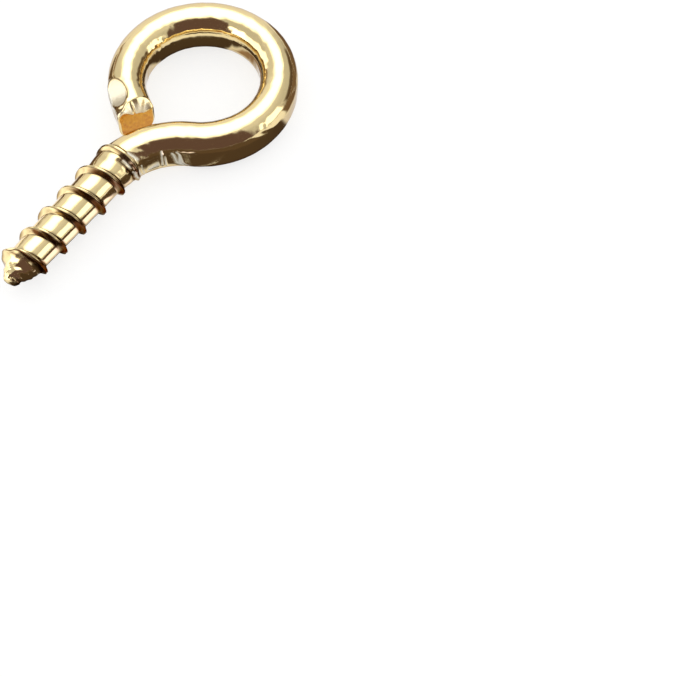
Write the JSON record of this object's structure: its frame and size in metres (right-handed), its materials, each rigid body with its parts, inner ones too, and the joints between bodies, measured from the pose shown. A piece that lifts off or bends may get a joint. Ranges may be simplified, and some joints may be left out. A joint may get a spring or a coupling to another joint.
{
  "type": "screw eye",
  "caption": "Closed-eye screw eye bent from brass wire, with a pointed wood-screw thread, an offset neck and a blunt cut end.",
  "frame": {"origin": "centre of the eye, at the middle of the wire", "axes": "+X along the shank from the point towards the eye, +Z along the eye's axis, +Y in the plane of the eye, towards the cut end's side"},
  "size_m": [0.025, 0.012, 0.0032],
  "materials": {
    "brass": "bright plated, polished"
  },
  "bodies": {
    "root": {"screw_eye": "brass"}
  },
  "joints": []
}
